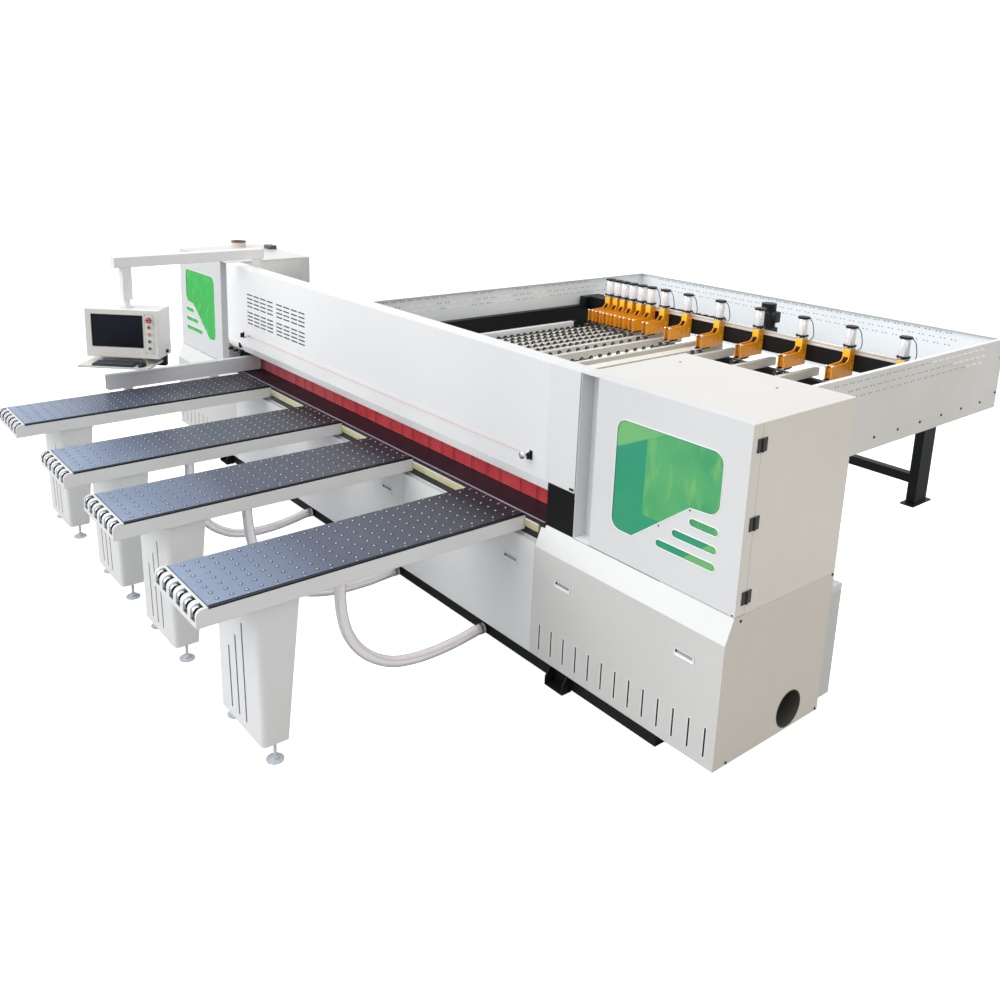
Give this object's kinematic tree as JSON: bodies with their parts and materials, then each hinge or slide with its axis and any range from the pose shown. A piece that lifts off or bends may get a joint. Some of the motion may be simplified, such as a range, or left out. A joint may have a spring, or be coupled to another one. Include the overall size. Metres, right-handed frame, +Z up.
{
  "type": "beam saw",
  "caption": "Panel saw with a pressure beam, end cabinets, air tables in front, a rear feed table with a gripper pusher and a swinging control console.",
  "frame": {"origin": "centre of the whole machine's footprint on the floor", "axes": "+X runs along the beam towards the right cabinet as the operator faces it, +Y runs from the operator to the rear table, +Z is up"},
  "size_m": [6.634, 7.645, 2.032],
  "materials": {
    "white_paint": "off-white powder coat, light texture",
    "cream_paint": "warm light grey powder coat",
    "black_paint": "satin black paint",
    "grey_paint": "light grey satin paint",
    "dark_table": "glossy dark coated plate",
    "air_top": "blue-grey laminate with small steel ball seats",
    "amber_paint": "amber gloss paint",
    "bare_steel": "ground steel",
    "red_strip": "stiff red plastic strips",
    "tinted_sheet": "green see-through plastic sheet",
    "clear_hose": "clear hose with fine stripes",
    "red_plastic": "moulded red",
    "amber_plastic": "moulded amber",
    "green_plastic": "moulded green"
  },
  "bodies": {
    "machine": {"base_frame": "black_paint", "machine_bed": "cream_paint", "front_panels": "white_paint", "right_base_cover": "white_paint", "left_base_cover": "white_paint", "saw_table": "dark_table", "beam_frame": "cream_paint", "beam_cover": "white_paint", "dust_strips": "red_strip", "right_guard_box": "white_paint", "left_guard_box": "white_paint", "table_frame_1": "cream_paint", "table_frame_2": "cream_paint", "table_frame_3": "cream_paint", "table_frame_4": "cream_paint", "table_top_1": "air_top", "table_top_2": "air_top", "table_top_3": "air_top", "table_top_4": "air_top", "side_fence": "grey_paint", "hose_2": "clear_hose", "hose_3": "clear_hose", "hose_4": "clear_hose", "rear_frame": "black_paint", "roller_rails": "cream_paint", "rear_panel_right": "white_paint", "rear_panel_left": "white_paint", "rear_panel_back": "white_paint"},
    "right_door": {"right_door": "white_paint", "right_window": "tinted_sheet"},
    "left_door": {"left_door": "white_paint", "left_window": "tinted_sheet"},
    "pressure_beam": {"pressure_beam": "grey_paint"},
    "pusher": {"pusher_beam": "black_paint", "gripper_brackets": "amber_paint"},
    "console_arm": {"console_arm": "white_paint"},
    "console_box": {"console_box": "white_paint", "keyboard_tray": "grey_paint"},
    "emergency_button": {"emergency_button": "red_plastic"},
    "saw_carriage": {"saw_carriage": "grey_paint"},
    "saw_head": {"saw_head": "black_paint"},
    "saw_blade": {"saw_blade": "bare_steel"},
    "scoring_blade": {"scoring_blade": "bare_steel"},
    "push_button_1": {"push_button_1": "red_plastic"},
    "push_button_2": {"push_button_2": "amber_plastic"},
    "push_button_3": {"push_button_3": "green_plastic"},
    "push_button_4": {"push_button_4": "green_plastic"},
    "gripper_finger_01": {"gripper_finger_01": "bare_steel"},
    "gripper_finger_02": {"gripper_finger_02": "bare_steel"},
    "gripper_finger_03": {"gripper_finger_03": "bare_steel"},
    "gripper_finger_04": {"gripper_finger_04": "bare_steel"},
    "gripper_finger_05": {"gripper_finger_05": "bare_steel"},
    "gripper_finger_06": {"gripper_finger_06": "bare_steel"},
    "gripper_finger_07": {"gripper_finger_07": "bare_steel"},
    "gripper_finger_08": {"gripper_finger_08": "bare_steel"},
    "gripper_finger_09": {"gripper_finger_09": "bare_steel"},
    "gripper_finger_10": {"gripper_finger_10": "bare_steel"},
    "gripper_finger_11": {"gripper_finger_11": "bare_steel"},
    "gripper_finger_12": {"gripper_finger_12": "bare_steel"},
    "gripper_finger_13": {"gripper_finger_13": "bare_steel"}
  },
  "joints": [
    {"name": "right_door_hinge", "type": "hinge", "parent": "machine", "child": "right_door", "pos_m": [3.3113, -1.7555, 1.41], "axis": [0, 0, 1], "range_deg": [0, 110]},
    {"name": "left_door_hinge", "type": "hinge", "parent": "machine", "child": "left_door", "pos_m": [-3.3113, -1.7555, 1.41], "axis": [0, 0, 1], "range_deg": [-110, 0]},
    {"name": "pressure_beam_slide", "type": "slide", "parent": "machine", "child": "pressure_beam", "axis": [0, 0, -1], "range_m": [0, 0.1]},
    {"name": "pusher_slide", "type": "slide", "parent": "machine", "child": "pusher", "axis": [0, -1, 0], "range_m": [0, 3.3]},
    {"name": "console_swing", "type": "hinge", "parent": "machine", "child": "console_arm", "pos_m": [-1.97, -1.652, 1.8], "axis": [0, 0, 1], "range_deg": [-45, 45]},
    {"name": "console_swivel", "type": "hinge", "parent": "console_arm", "child": "console_box", "pos_m": [-1.97, -2.797, 1.63], "axis": [0, 0, 1], "range_deg": [-60, 60]},
    {"name": "saw_travel", "type": "slide", "parent": "machine", "child": "saw_carriage", "axis": [1, 0, 0], "range_m": [0, 5.25]},
    {"name": "saw_lift", "type": "slide", "parent": "saw_carriage", "child": "saw_head", "axis": [0, 0, 1], "range_m": [0, 0.105]},
    {"name": "saw_blade_spin", "type": "hinge", "parent": "saw_head", "child": "saw_blade", "pos_m": [-2.65, -1.5075, 0.734], "axis": [0, 1, 0], "continuous": true},
    {"name": "scoring_blade_spin", "type": "hinge", "parent": "saw_head", "child": "scoring_blade", "pos_m": [-2.35, -1.5075, 0.778], "axis": [0, 1, 0], "continuous": true},
    {"name": "emergency_button_press", "type": "slide", "parent": "console_box", "child": "emergency_button", "axis": [-0.7373, 0.6756, 0], "range_m": [0, 0.003], "stiffness_N_per_m": 1500},
    {"name": "push_button_1_press", "type": "slide", "parent": "console_box", "child": "push_button_1", "axis": [-0.7373, 0.6756, 0], "range_m": [0, 0.003], "stiffness_N_per_m": 800},
    {"name": "push_button_2_press", "type": "slide", "parent": "console_box", "child": "push_button_2", "axis": [-0.7373, 0.6756, 0], "range_m": [0, 0.003], "stiffness_N_per_m": 800},
    {"name": "push_button_3_press", "type": "slide", "parent": "console_box", "child": "push_button_3", "axis": [-0.7373, 0.6756, 0], "range_m": [0, 0.003], "stiffness_N_per_m": 800},
    {"name": "push_button_4_press", "type": "slide", "parent": "console_box", "child": "push_button_4", "axis": [-0.7373, 0.6756, 0], "range_m": [0, 0.003], "stiffness_N_per_m": 800},
    {"name": "gripper_01_close", "type": "hinge", "parent": "pusher", "child": "gripper_finger_01", "pos_m": [-1.89421, 2.4732, 1.075], "axis": [1, 0, 0], "range_deg": [0, 12]},
    {"name": "gripper_02_close", "type": "hinge", "parent": "pusher", "child": "gripper_finger_02", "pos_m": [-1.7749, 2.4732, 1.075], "axis": [1, 0, 0], "range_deg": [0, 12]},
    {"name": "gripper_03_close", "type": "hinge", "parent": "pusher", "child": "gripper_finger_03", "pos_m": [-1.66682, 2.4732, 1.075], "axis": [1, 0, 0], "range_deg": [0, 12]},
    {"name": "gripper_04_close", "type": "hinge", "parent": "pusher", "child": "gripper_finger_04", "pos_m": [-1.54585, 2.4732, 1.075], "axis": [1, 0, 0], "range_deg": [0, 12]},
    {"name": "gripper_05_close", "type": "hinge", "parent": "pusher", "child": "gripper_finger_05", "pos_m": [-1.41407, 2.4732, 1.075], "axis": [1, 0, 0], "range_deg": [0, 12]},
    {"name": "gripper_06_close", "type": "hinge", "parent": "pusher", "child": "gripper_finger_06", "pos_m": [-1.27398, 2.4732, 1.075], "axis": [1, 0, 0], "range_deg": [0, 12]},
    {"name": "gripper_07_close", "type": "hinge", "parent": "pusher", "child": "gripper_finger_07", "pos_m": [-1.07611, 2.4732, 1.075], "axis": [1, 0, 0], "range_deg": [0, 12]},
    {"name": "gripper_08_close", "type": "hinge", "parent": "pusher", "child": "gripper_finger_08", "pos_m": [-0.76184, 2.4732, 1.075], "axis": [1, 0, 0], "range_deg": [0, 12]},
    {"name": "gripper_09_close", "type": "hinge", "parent": "pusher", "child": "gripper_finger_09", "pos_m": [-0.33907, 2.4732, 1.075], "axis": [1, 0, 0], "range_deg": [0, 12]},
    {"name": "gripper_10_close", "type": "hinge", "parent": "pusher", "child": "gripper_finger_10", "pos_m": [0.14189, 2.4732, 1.075], "axis": [1, 0, 0], "range_deg": [0, 12]},
    {"name": "gripper_11_close", "type": "hinge", "parent": "pusher", "child": "gripper_finger_11", "pos_m": [0.632, 2.4732, 1.075], "axis": [1, 0, 0], "range_deg": [0, 12]},
    {"name": "gripper_12_close", "type": "hinge", "parent": "pusher", "child": "gripper_finger_12", "pos_m": [1.12918, 2.4732, 1.075], "axis": [1, 0, 0], "range_deg": [0, 12]},
    {"name": "gripper_13_close", "type": "hinge", "parent": "pusher", "child": "gripper_finger_13", "pos_m": [1.64215, 2.4732, 1.075], "axis": [1, 0, 0], "range_deg": [0, 12]}
  ],
  "couplings": [
    {"joint": "gripper_02_close", "follows": "gripper_01_close", "ratio": 1},
    {"joint": "gripper_03_close", "follows": "gripper_01_close", "ratio": 1},
    {"joint": "gripper_04_close", "follows": "gripper_01_close", "ratio": 1},
    {"joint": "gripper_05_close", "follows": "gripper_01_close", "ratio": 1},
    {"joint": "gripper_06_close", "follows": "gripper_01_close", "ratio": 1},
    {"joint": "gripper_07_close", "follows": "gripper_01_close", "ratio": 1},
    {"joint": "gripper_08_close", "follows": "gripper_01_close", "ratio": 1},
    {"joint": "gripper_09_close", "follows": "gripper_01_close", "ratio": 1},
    {"joint": "gripper_10_close", "follows": "gripper_01_close", "ratio": 1},
    {"joint": "gripper_11_close", "follows": "gripper_01_close", "ratio": 1},
    {"joint": "gripper_12_close", "follows": "gripper_01_close", "ratio": 1},
    {"joint": "gripper_13_close", "follows": "gripper_01_close", "ratio": 1}
  ]
}
